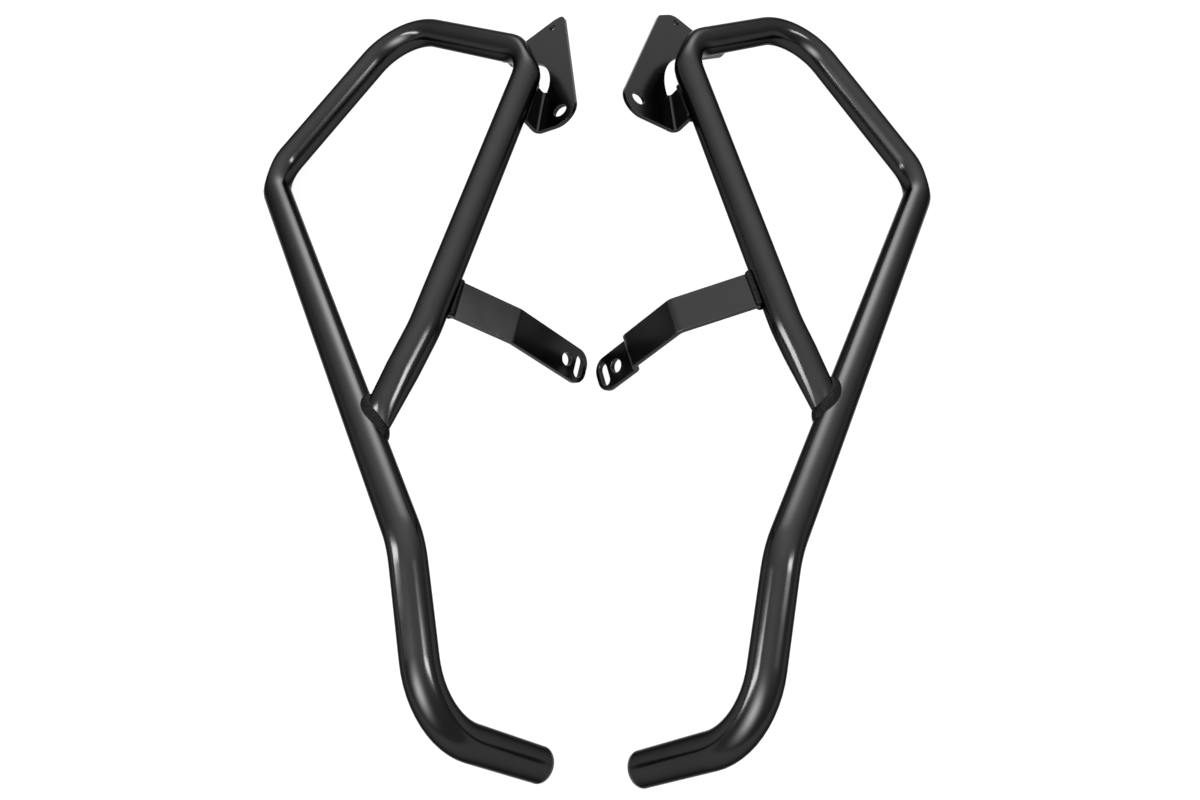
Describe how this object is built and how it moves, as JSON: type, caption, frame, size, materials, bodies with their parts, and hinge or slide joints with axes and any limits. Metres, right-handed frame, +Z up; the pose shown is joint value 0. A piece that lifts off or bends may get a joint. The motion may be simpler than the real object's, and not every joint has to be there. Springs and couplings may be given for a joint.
{
  "type": "motorcycle crash bars",
  "caption": "Bent-tube motorcycle crash bars for both sides, each a welded loop with a leg, a folded bolt-on bracket and a drilled strap.",
  "frame": {"origin": "on the ground, under the middle of the pair's bounding box", "axes": "+X from the left bar to the right bar, +Y from the tube ends towards the loops, +Z up"},
  "size_m": [0.6558, 0.736, 0.1421],
  "materials": {
    "coat": "satin black powder coat",
    "plug": "matt black"
  },
  "bodies": {
    "root": {"left_tube": "coat", "left_upper_bracket": "coat", "left_lower_strap": "coat", "left_foot_weld": "coat", "left_strap_weld": "coat", "left_bracket_weld": "coat", "left_end_plug": "plug", "right_tube": "coat", "right_upper_bracket": "coat", "right_lower_strap": "coat", "right_foot_weld": "coat", "right_strap_weld": "coat", "right_bracket_weld": "coat", "right_end_plug": "plug"}
  },
  "joints": []
}
